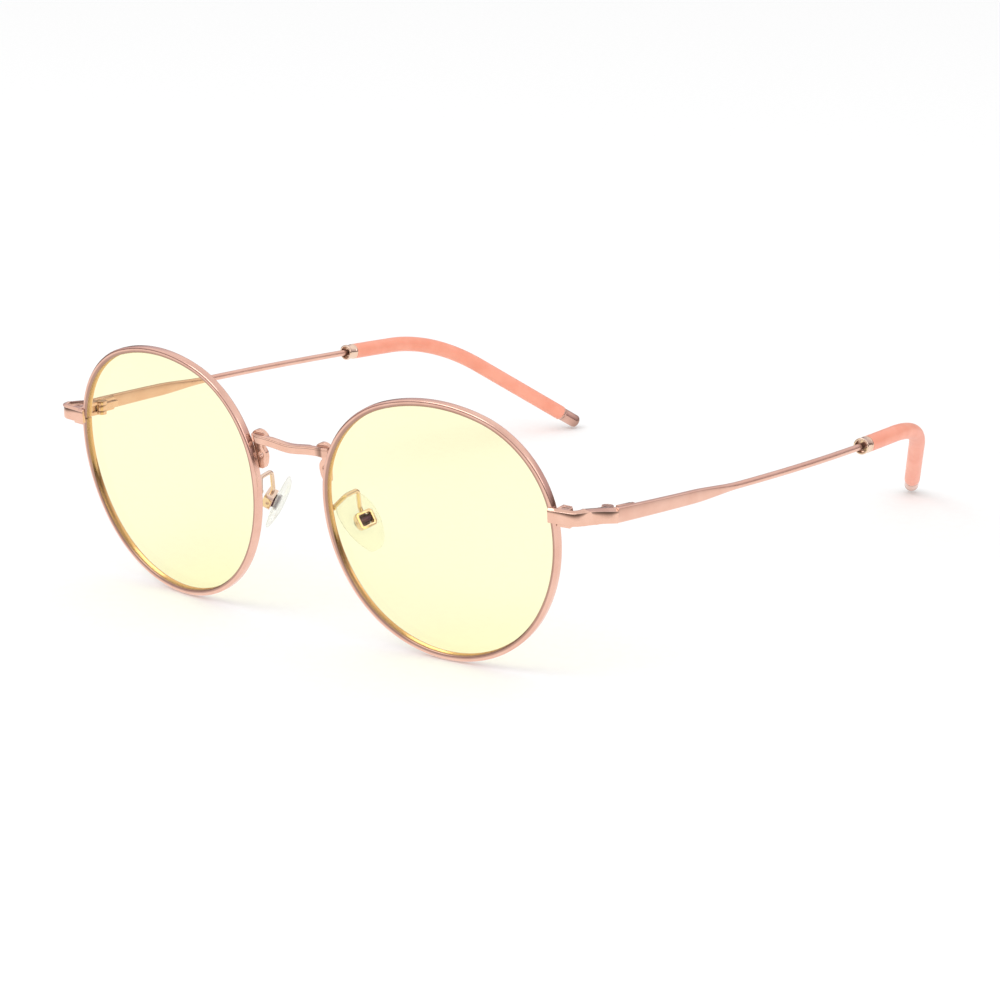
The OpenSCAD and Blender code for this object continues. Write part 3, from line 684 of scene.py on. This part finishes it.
def gusset():
    """Plate with one hole behind the joint of bridge and rim, round at the top."""
    head = [np.array([NOSE_X - 0.85, 10.75]) + 2.1 * direction(30 + 170 * i / 44)
            for i in range(45)]
    tail = [(NOSE_X + x, z) for x, z, radius in GUSSET_CORNERS]
    radii = [radius for x, z, radius in GUSSET_CORNERS]
    outline = head + rounded([head[-1]] + tail + [head[0]], radii, 5)
    hole = [np.array([NOSE_X - 0.95, 7.85]) + 0.46 * direction(-360 * i / 32)
            for i in range(32)]
    mesh = plate([outline, hole], PLATE_Y, thick=0.95, bevel=0.13)
    # keep it behind the rim
    forward = LENS_TURN[:, 2]
    for i, point in enumerate(mesh.points):
        over = (np.array(point) - vec(LENS_X, 0, 0)) @ forward + RIM_DEPTH / 2 + 0.03
        if over > 0:
            mesh.points[i] = tuple(np.array(point) - forward * over)
    return mesh


# ---------------------------------------------------------------- end piece
# bent strip: a front leg, a corner, and a side leg back to the joint; plan vectors are (x, y)
CORNER_R, FRONT_LEAN = 2.9, 5.0
FRONT_START_THICK, FRONT_THICK, SIDE_THICK = 0.68, 0.93, 1.6
SIDE_NORMAL = np.array([cos(radians(SPLAY)), -sin(radians(SPLAY))])
SIDE_RUN = np.array([sin(radians(SPLAY)), cos(radians(SPLAY))])
FRONT_NORMAL = np.array([sin(radians(FRONT_LEAN)), -cos(radians(FRONT_LEAN))])
FRONT_RUN = direction(FRONT_LEAN)
FRONT_START = np.array([OUTER_X - 0.6, OUTER_Y - RIM_DEPTH / 2 - 0.78])
SIDE_OUTSET = 0.66                  # outer face beyond the joint
CORNER_C = np.linalg.solve(
    [SIDE_NORMAL, FRONT_NORMAL],
    [SIDE_NORMAL @ JOINT[:2] + SIDE_OUTSET - CORNER_R, FRONT_NORMAL @ FRONT_START - CORNER_R])
SIDE_START = CORNER_C + CORNER_R * SIDE_NORMAL
JOINT_NORMAL = TEMPLE_TURN @ vec(0, 1, 0)
JOINT_FACE = temple_point([0, JOINT_START - 0.045, 0])

# edges seen from the side: (y, z)
TOP_EDGE = ((-9, 8.0), (1.0, 8.08), (2.6, 8.16), (3.2, 8.15), (3.8, 8.0), (10.5, 6.09),
            (12.5, 5.74))
CREASE = ((-9, 7.66), (0.76, 7.67), (1.0, 7.74), (1.24, 7.78), (1.57, 7.83), (2.13, 7.85),
          (2.8, 7.83), (3.64, 7.70), (5.18, 7.27), (6.9, 6.72), (8.7, 6.11), (10.8, 5.42),
          (12.5, 4.85))
BOTTOM_EDGE = ((-9, 5.29), (1.2, 5.33), (2.0, 5.39), (3.28, 5.26), (6.68, 4.45),
               (10.92, 3.21), (12.5, 2.91))
# how strongly the outer face is pressed in under its crease, and how dark its painted shade is:
# (distance along, share)
HOLLOW = ((-0.1, 0.35), (1.0, 0.42), (2.7, 0.62), (4.2, 0.86), (5.6, 1.0), (6.4, 0.95),
          (7.2, 0.62), (8.0, 0.15), (8.6, 0.0), (8.9, 0.0), (9.3, 0.45), (10.2, 0.72),
          (11.5, 0.90), (13.0, 1.0), (14.2, 0.98), (15.3, 0.62), (15.9, 0.30), (16.5, 0.2))
# stations up the outer face, as shares of its height to the crease
FACE_SHARES = (0.16, 0.30, 0.42, 0.50, 0.57, 0.63, 0.69, 0.74, 0.79, 0.83, 0.87, 0.905,
               0.935, 0.962, 0.985)


def side_length(z, depth):
    """Length of the side leg to the joint's face, at height z and depth under its outer face."""
    start = vec(*(SIDE_START - SIDE_NORMAL * depth), z)
    return float((JOINT_FACE - start) @ JOINT_NORMAL / (vec(*SIDE_RUN, 0) @ JOINT_NORMAL))


def endpiece_stations():
    """(outer point, outward normal, thickness, hollow and painted shade strength, share of side
    leg or None)
    """
    front_length = (CORNER_C - FRONT_START) @ FRONT_RUN
    turn = 90 - FRONT_LEAN - SPLAY
    corner_length = CORNER_R * radians(turn)
    full_length = side_length(JOINT[2] + 0.14, 0)
    out = []
    for share in [0.0] + spread(0, 1, 50):
        point = FRONT_START + FRONT_RUN * front_length * share
        grown = smoothstep((point[0] - OUTER_X - 0.62) / 0.25)
        thick = FRONT_START_THICK + (FRONT_THICK - FRONT_START_THICK) * grown
        out.append((point, FRONT_NORMAL, thick, lookup(front_length * share, HOLLOW), None))
    for share in spread(0, 1, 44):
        normal = direction(-90 + FRONT_LEAN + turn * share)
        out.append((CORNER_C + CORNER_R * normal, normal,
                    FRONT_THICK + (SIDE_THICK - FRONT_THICK) * share,
                    lookup(front_length + corner_length * share, HOLLOW), None))
    for share in spread(0, 1, 70):
        along = front_length + corner_length + full_length * share
        out.append((SIDE_START + SIDE_RUN * full_length * share, SIDE_NORMAL, SIDE_THICK,
                    lookup(along, HOLLOW), share))
    return out


def endpiece_section(thick, hollow, bottom, crease, top):
    """(depth from outer face, z) up the outer face and down the inner, and their painted shade.
    """
    low, radius = 0.15, 0.11
    face, face_shades = [], []
    for share in FACE_SHARES:
        # pressed in deepest just below the crease
        dip = smoothstep((share - 0.22) / 0.72) * (1 - smoothstep((share - 0.955) / 0.05))
        face.append((0.17 * hollow * dip, bottom + (crease - bottom) * share))
        # painted shade, darkest just under the crease
        dark = smoothstep((share - 0.97 + 0.45 * hollow) / (0.04 + 0.32 * hollow))
        face_shades.append(0.96 * hollow ** 0.25 * dark)
    slope = [(0.07 + (0.55 * thick - 0.07) * share, crease + 0.06 + (top - crease - 0.06) * share)
             for share in (0.25, 0.5, 0.75)]
    section = (arc(low, bottom + low, low, 270, (0, -30, -60, -90)) + face
               + [(0.0, crease), (0.03, crease + 0.035), (0.07, crease + 0.06)] + slope
               + [(0.55 * thick, top), (0.7 * thick, top)]
               + arc(thick - radius, top - radius, radius, 90, (0, -45, -90))
               + arc(thick - radius, bottom + radius, radius, 0, (0, -45, -90)))
    # painted shade per point: the outer face's, none at the crease, faint over the top slope
    return section, [0.0] * 4 + face_shades + [0.0] * 3 + [0.06] * 8 + [0.0] * 3


def endpiece():
    rings, shades = [], []
    for point, normal, thick, hollow, share in endpiece_stations():
        bottom, crease, top = (lookup(point[1], t) for t in (BOTTOM_EDGE, CREASE, TOP_EDGE))
        section, shade = endpiece_section(thick, hollow, bottom, crease, top)
        ring = []
        for depth, z in section[::-1]:
            if share is None:
                plan = point - normal * depth
            else:
                run = SIDE_RUN * side_length(z, depth) * share
                plan = SIDE_START - SIDE_NORMAL * depth + run
            ring.append(vec(*plan, z))
        rings.append(np.array(ring))
        shades.append(shade[::-1])
    steps = 3
    mesh = loft(soft_ends(rings, 0.05, steps))
    # painted shade rows, held on over the rounded end rings
    rows = [shades[0]] * steps + shades + [shades[-1]] * steps
    mesh.shade = [value for row in rows for value in row]
    return mesh


# ---------------------------------------------------------------- nose pads and their arms
PAD_CENTRE = vec(NOSE_X + 1.393, 4.846, -4.595)
PAD_NORMAL = unit([-0.795, 0.378, -0.473])      # out of the domed face
PAD_SLOPE = vec(0.498, -0.037, -0.866)
PAD_LONG = unit(PAD_SLOPE - (PAD_SLOPE @ PAD_NORMAL) * PAD_NORMAL)     # downwards
PAD_WIDE = np.cross(PAD_NORMAL, PAD_LONG)
# circles whose overlap is the pad's outline: (centre along and across, radius)
PAD_CIRCLES = (((0.2, 5.79), 9.49), ((-2.7, -10.1), 14.1), ((-0.1, 0.15), 6.2),
               ((0.6, -1.6), 7.3))
PAD_SOCKET = ((0.01, -0.15), (1.55, -0.15), (1.62, -0.19), (1.62, -0.70),
              (1.68, -0.75))                    # radius, height
PAD_EDGE = ((0.6, -0.75), (0.80, -0.75), (0.90, -0.74), (0.945, -0.71), (0.975, -0.64),
            (0.992, -0.54), (0.998, -0.43), (0.993, -0.32), (0.975, -0.22),
            (0.945, -0.13))                     # share of the outline, height


def pad_reach(angle):
    """Distance to the outline: a softened minimum over the circles."""
    heading = np.array([cos(angle), sin(angle)])
    total = 0
    for centre, radius in PAD_CIRCLES:
        centre = np.array(centre)
        along = heading @ centre
        reach = along + sqrt(along * along - (centre @ centre - radius * radius))
        total += reach ** -30.0
    return float(total ** (-1 / 30.0))


def nose_pad():
    angles = 2 * pi * np.arange(96) / 96
    outline = np.array([pad_reach(angle) for angle in angles])

    def ring(radii, height):
        return (PAD_CENTRE + np.outer(radii * np.cos(angles), PAD_LONG)
                + np.outer(radii * np.sin(angles), PAD_WIDE) + np.outer(height, PAD_NORMAL))

    rings = [ring(radius, height) for radius, height in PAD_SOCKET]
    rings += [ring(outline * share, height) for share, height in PAD_EDGE]
    for share in (0.90, 0.84, 0.76, 0.66, 0.54, 0.42, 0.30, 0.18, 0.08, 0.002):
        radii = outline * share
        rings.append(ring(radii, 0.78 - radii * radii / 40 - 0.10 * (radii / 6) ** 6))
    return loft(rings)


def pad_arm():
    """Bent wire from a round foot on the rim's back to the top of the pad box."""
    x, z = NOSE_X + 0.3, 0.2
    box_top = PAD_CENTRE - PAD_NORMAL * 2.25 - PAD_LONG * 1.66
    corners = [vec(x, RIM_BACK + 0.3, z), vec(NOSE_X + 1.75, 0.6, 2.1),
               vec(NOSE_X + 1.95, 4.0, 2.25), box_top - PAD_LONG * 0.9 - PAD_NORMAL * 0.1,
               box_top]
    bent = corner_path(corners, (1.1, 0.85, 0.6), 24)
    lengths = path_lengths(bent)
    count = max(2, int(round(lengths[-1] / 0.12)) + 1)
    path = interpolate(np.linspace(0, lengths[-1], count), lengths, bent)
    rings = [circle(point, 0.42, side, other, 24)
             for point, side, other in zip(path, *side_directions(path))]
    arm = loft(soft_ends(rings, 0.06, 2))
    foot = [(0.001, 0.0), (0.52, 0.0), (0.58, 0.05), (0.58, 0.26), (0.55, 0.36), (0.49, 0.43),
            (0.44, 0.45), (0.001, 0.45)]        # radius, height
    arm.add(lathe(foot, vec(x, RIM_BACK + 0.08, z), vec(0, 1, 0), 40))
    return arm


# ---------------------------------------------------------------- temples
# stations are arc lengths back from the joint; the bow is an arc in the temple's x-y plane
BEND_START, RING_START = 95.19, 80.6
TIP_START = RING_START + 2.51
TAPER_END = BLADE_LENGTH + 15
BEND_R, BEND_ANGLE = 39.0, radians(38.15)
BLADE_END_HEIGHT = BLADE_HEIGHT * 0.87
CAP_LENGTH = 5
TEMPLE_UP = vec(0, 0, 1)
BORE = WIRE_DIAMETER / 2 + 0.04


def bow_point(station):
    angle = station / BOW_RADIUS
    return vec(BOW_RADIUS * (cos(angle) - 1), BOW_RADIUS * sin(angle), 0)


def bow_tangent(station):
    angle = station / BOW_RADIUS
    return vec(-sin(angle), cos(angle), 0)


def bow_outward(station):
    tangent = bow_tangent(station)
    return vec(tangent[1], -tangent[0], 0)


# the bend turns from its tangent towards BEND_SIDE, down and inward
BEND_TANGENT = bow_tangent(BEND_START)
BEND_AIM = -vec(0.588, 0, 0.809)
BEND_SIDE = unit(BEND_AIM - (BEND_AIM @ BEND_TANGENT) * BEND_TANGENT)
BEND_AXIS = np.cross(BEND_TANGENT, BEND_SIDE)


def bend_point(turn):
    return bow_point(BEND_START) + BEND_R * (BEND_SIDE * (1 - cos(turn))
                                             + BEND_TANGENT * sin(turn))


def turned(vector, turn):
    c, s = cos(turn), sin(turn)
    return ((vector @ BEND_TANGENT) * (BEND_TANGENT * c + BEND_SIDE * s)
            + (vector @ BEND_SIDE) * (BEND_SIDE * c - BEND_TANGENT * s)
            + (vector @ BEND_AXIS) * BEND_AXIS)


TAIL_START = bend_point(BEND_ANGLE)
TAIL_TANGENT = BEND_TANGENT * cos(BEND_ANGLE) + BEND_SIDE * sin(BEND_ANGLE)


def half_height(station):
    if station < BLADE_LENGTH:
        return (BLADE_HEIGHT + (BLADE_END_HEIGHT - BLADE_HEIGHT) * station / BLADE_LENGTH) / 2
    if station > TAPER_END:
        return WIRE_DIAMETER / 2
    share = (station - BLADE_LENGTH) / (TAPER_END - BLADE_LENGTH)
    return WIRE_DIAMETER / 2 + (BLADE_END_HEIGHT - WIRE_DIAMETER) / 2 * (1 + cos(pi * share)) / 2


def temple_section(station, centre, up, outward):
    """Rounded rectangle that grows round as the blade tapers to wire."""
    share = min(1, max(0, (station - BLADE_LENGTH) / (TAPER_END - BLADE_LENGTH)))
    height = half_height(station)
    width = BLADE_THICK / 2 + (WIRE_DIAMETER / 2 - BLADE_THICK / 2) * share
    radius = min(height, width) * (0.42 + 0.579 * share)
    turns = [90 * (i + 0.5) / 6 for i in range(6)]
    outline = []
    for side_a, side_b, start in ((1, -1, -90), (1, 1, 0), (-1, 1, 90), (-1, -1, 180)):
        outline += arc(side_a * (height - radius), side_b * (width - radius), radius, start,
                       turns)
    return np.array([temple_point(centre + up * a + outward * b) for a, b in outline])


def temple():
    """Blade, taper and wire core, ending inside the sleeve."""
    stations = ([JOINT_START] + spread(JOINT_START, BLADE_LENGTH, 21)
                + spread(BLADE_LENGTH, TAPER_END, 40) + spread(TAPER_END, BEND_START, 50))
    rings = [temple_section(s, bow_point(s), TEMPLE_UP, bow_outward(s)) for s in stations]
    outward = bow_outward(BEND_START)
    core_end = TAIL_START + TAIL_TANGENT * (TIP_STRAIGHT - 12)
    bend = [(bend_point(turn), turn) for turn in spread(0, BEND_ANGLE, 30)]
    for centre, turn in bend + [(core_end, BEND_ANGLE)]:
        rings.append(temple_section(BEND_START, centre, turned(TEMPLE_UP, turn),
                                    turned(outward, turn)))
    return loft(soft_ends(rings, 0.08, 3))


def ferrule():
    """Ring with two beads, a hollow mouth and the wire's bore."""
    outer = (                       # radius from TIP_RADIUS, height
        (-0.42, 1.48), (-0.40, 1.40), (-0.38, 0.10), (-0.33, 0.02), (-0.24, 0.0),
        (-0.10, 0.0), (-0.02, 0.05), (0.02, 0.14), (0.02, 0.38), (-0.02, 0.47),
        (-0.07, 0.52), (-0.08, 0.60), (-0.07, 1.90), (-0.06, 1.98), (-0.02, 2.03),
        (0.02, 2.10), (0.02, 2.40), (-0.02, 2.48), (-0.08, 2.5))
    profile = [(BORE, 2.5), (BORE, 1.52)] + [(TIP_RADIUS + r, height) for r, height in outer]
    return lathe(profile, temple_point(bow_point(RING_START)),
                 TEMPLE_TURN @ bow_tangent(RING_START), 72, closed=True)


def temple_tip():
    """Soft sleeve along the wire, round the bend and down the tail."""
    path = [bow_point(s) for s in [TIP_START] + spread(TIP_START, BEND_START, 14)]
    path += [bend_point(turn) for turn in spread(0, BEND_ANGLE, 40)]
    path += [TAIL_START + TAIL_TANGENT * s for s in spread(0, TIP_STRAIGHT - CAP_LENGTH, 24)]
    path = np.array([temple_point(point) for point in path])
    lengths = path_lengths(path)
    total = lengths[-1]
    inner, outer = BORE + 0.03, TIP_RADIUS - 0.005
    # (distance, radius): out over the first end, along, in over the last, back up the bore
    ends = [(0.0, inner + 0.02), (0.0, TIP_RADIUS - 0.16), (0.03, TIP_RADIUS - 0.08),
            (0.09, TIP_RADIUS - 0.02), (0.17, outer)]
    stations = ends + [(s, outer) for s in lengths[1:-1] if 0.3 < s < total - 0.3]
    stations += [(total - s, radius) for s, radius in ends[::-1]]
    stations += [(s, inner) for s in np.linspace(total, 0, 60)]
    # side directions are carried once and serve both walls
    even = np.linspace(0, total, 200)
    sides, others = side_directions(interpolate(even, lengths, path))
    return loft([circle(interpolate(s, lengths, path), radius,
                        unit(interpolate(s, even, sides)), unit(interpolate(s, even, others)),
                        40)
                 for s, radius in stations], closed=True)


def tip_cap():
    """Turned bead with a fine groove at its mouth and a stub inside the sleeve."""
    radius = TIP_RADIUS - 0.16
    mouth = ((-0.10, 0.0), (-0.03, 0.04), (0, 0.11), (0, 0.34), (-0.06, 0.40), (-0.06, 0.52),
             (0, 0.58), (0, 1.2), (0, 2.0), (0, 2.8), (0, 3.4), (0, 3.9))
    profile = [(0.001, 0.0)] + [(radius + r, height) for r, height in mouth]
    profile += arc(radius - 0.9, 4.09, 0.9, 0, (8, 18, 28, 38, 48, 58, 68, 78, 86))
    profile += [(0.38, 4.985), (0.001, 4.99)]
    origin = temple_point(TAIL_START + TAIL_TANGENT * (TIP_STRAIGHT - CAP_LENGTH + 0.01))
    axis = TEMPLE_TURN @ TAIL_TANGENT
    mesh = lathe(profile, origin, axis, 56)
    stub = [(0.001, -3.0), (BORE - 0.10, -3.0), (BORE - 0.02, -2.92), (BORE - 0.02, 0.05),
            (0.001, 0.05)]
    mesh.add(lathe(stub, origin, axis, 32))
    # painted shade: darker towards the far end and in the groove
    heights = [(np.array(point) - origin) @ axis for point in mesh.points]
    mesh.shade = [0.55 * smoothstep((height - 2.2) / 2.4)
                  + 0.5 * smoothstep((0.9 - abs(height - 0.46) * 6) / 0.5) for height in heights]
    return mesh


# ---------------------------------------------------------------- build
both("rim", rim(), ROSE_RIM, sharp=50)
both("lens", lens(), LENS)
emit("bridge", bridge(), "front", ROSE_BRIGHT)
both("gusset", gusset(), ROSE_BRIGHT)
both("endpiece", endpiece(), ROSE_BRIGHT, sharp=34)
eased_cad("rim_lock", ROSE_BRIGHT, width=0.10)
eased_cad("rim_screw", STEEL, width=0.05)
eased_cad("hinge_front", ROSE_BRIGHT, width=0.07)
eased_cad("hinge_temple", ROSE_BRIGHT, width=0.07)
eased_cad("hinge_screw", STEEL, width=0.05)
eased_cad("pad_screw", STEEL, width=0.04)
eased_cad("pad_lug", LUG, width=0.08)
eased_cad("pad_box", GOLD, width=0.16, segments=4)
both("nose_pad", nose_pad(), PAD)
both("pad_arm", pad_arm(), GOLD)
both("temple", temple(), ROSE, sharp=34)
both("ferrule", ferrule(), GOLD)
both("temple_tip", temple_tip(), CORAL)
both("tip_cap", tip_cap(), CAP)


# ---------------------------------------------------------------- floor, light, camera (m)
def floor_paper():
    """White paper; what the metal sees of it is a painted reflection, the paper glowing pale
    close by and dim further out.
    """
    net = Nodes(bpy.data.materials.new("floor_paper"))
    grain = net.noise(scale=500, detail=3, rough=0.6)
    colour = net.mix(net.remap(grain, span=(0.3, 0.7)),
                     (0.93, 0.93, 0.93, 1), (0.95, 0.95, 0.95, 1))
    paper = net.node("BsdfDiffuse", {
        "Color": colour, "Normal": net.bump(grain, strength=0.03, distance=0.0001)})
    distance = net.node("VectorMath", {0: net.coords}, out="Value", operation="LENGTH")
    seen = net.mix(net.remap(distance, span=(0.22, 0.85)),
                   (1.06, 1.04, 1.03, 1), (0.10, 0.07, 0.06, 1))
    glow = net.node("Emission", {"Color": seen, "Strength": 1.0})
    return net.done(net.mix_shader(net.node("LightPath", out="Is Glossy Ray"), paper, glow))


def add_floor(half=6.0):
    floor = bpy.data.objects.new("floor", bpy.data.meshes.new("floor"))
    corners = [(-half, -half, 0), (half, -half, 0), (half, half, 0), (-half, half, 0)]
    floor.data.from_pydata(corners, [], [(0, 1, 2, 3)])
    floor.location.z = -0.0002
    SCENE.collection.objects.link(floor)
    floor.data.materials.append(floor_paper())


# what reflections see of the studio: (position from straight down 0 to straight up 1, colour)
SKY = ((0.52, (0.10, 0.07, 0.06, 1)), (0.59, (0.58, 0.51, 0.55, 1)),
       (0.70, (0.70, 0.64, 0.69, 1)), (0.80, (1.02, 1.0, 1.0, 1)), (1.0, (0.85, 0.85, 0.87, 1)))


def add_world():
    """Plain white light, with the SKY gradient for glossy rays."""
    world = bpy.data.worlds.new("studio")
    SCENE.world = world
    net = Nodes(world, output="OutputWorld", coords="Generated")
    height = net.node("SeparateXYZ", {0: net.coords}, out="Z")
    gradient = net.node("ValToRGB", {0: net.remap(height, span=(-1, 1))})
    elements = gradient.node.color_ramp.elements
    for i, (position, colour) in enumerate(SKY):
        element = elements[i] if i < 2 else elements.new(position)
        element.position = position
        element.color = colour
    white = net.node("Background", {"Color": (1, 1, 1, 1), "Strength": 1.0})
    sky = net.node("Background", {"Color": gradient, "Strength": 1.0})
    net.done(net.mix_shader(net.node("LightPath", out="Is Glossy Ray"), white, sky))


def add_softbox(name, location, size, power):
    light = bpy.data.lights.new(name, "AREA")
    light.shape = "RECTANGLE"
    light.size, light.size_y = size
    light.energy = power
    softbox = bpy.data.objects.new(name, light)
    SCENE.collection.objects.link(softbox)
    softbox.location = location
    softbox.rotation_mode = "QUATERNION"
    aim = Vector((0, 0, 0.02)) - Vector(location)
    softbox.rotation_quaternion = aim.to_track_quat("-Z", "Y")


def add_camera():
    """Camera given in the front's frame, in mm, and placed with it."""
    lens_data = bpy.data.cameras.new("camera")
    camera = bpy.data.objects.new("camera", lens_data)
    SCENE.collection.objects.link(camera)
    lens_data.sensor_fit = "AUTO"
    lens_data.sensor_width = 36
    lens_data.lens = 108.762
    lens_data.clip_start, lens_data.clip_end = 0.02, 50
    right = vec(0.79337, 0.60520, -0.06556)
    up = vec(-0.16746, 0.32053, 0.93232)
    forward = vec(-0.58525, 0.72870, -0.35564)
    matrix = np.eye(4)
    matrix[:3, :3] = LEAN @ np.stack([right, up, -forward], 1)
    matrix[:3, 3] = place([vec(362.81, -392.19, 199.6)])[0]
    camera.matrix_world = Matrix(matrix.tolist())
    SCENE.camera = camera


add_floor()
add_world()
add_softbox("key_softbox", location=(-0.25, -0.75, 0.95), size=(0.7, 0.5), power=2.2)
add_softbox("fill_softbox", location=(0.95, -0.35, 0.55), size=(0.5, 0.5), power=1.0)
SCENE.view_settings.view_transform = "Standard"
SCENE.view_settings.look = "None"
SCENE.view_settings.exposure = 0.0
SCENE.view_settings.gamma = 1.0
add_camera()
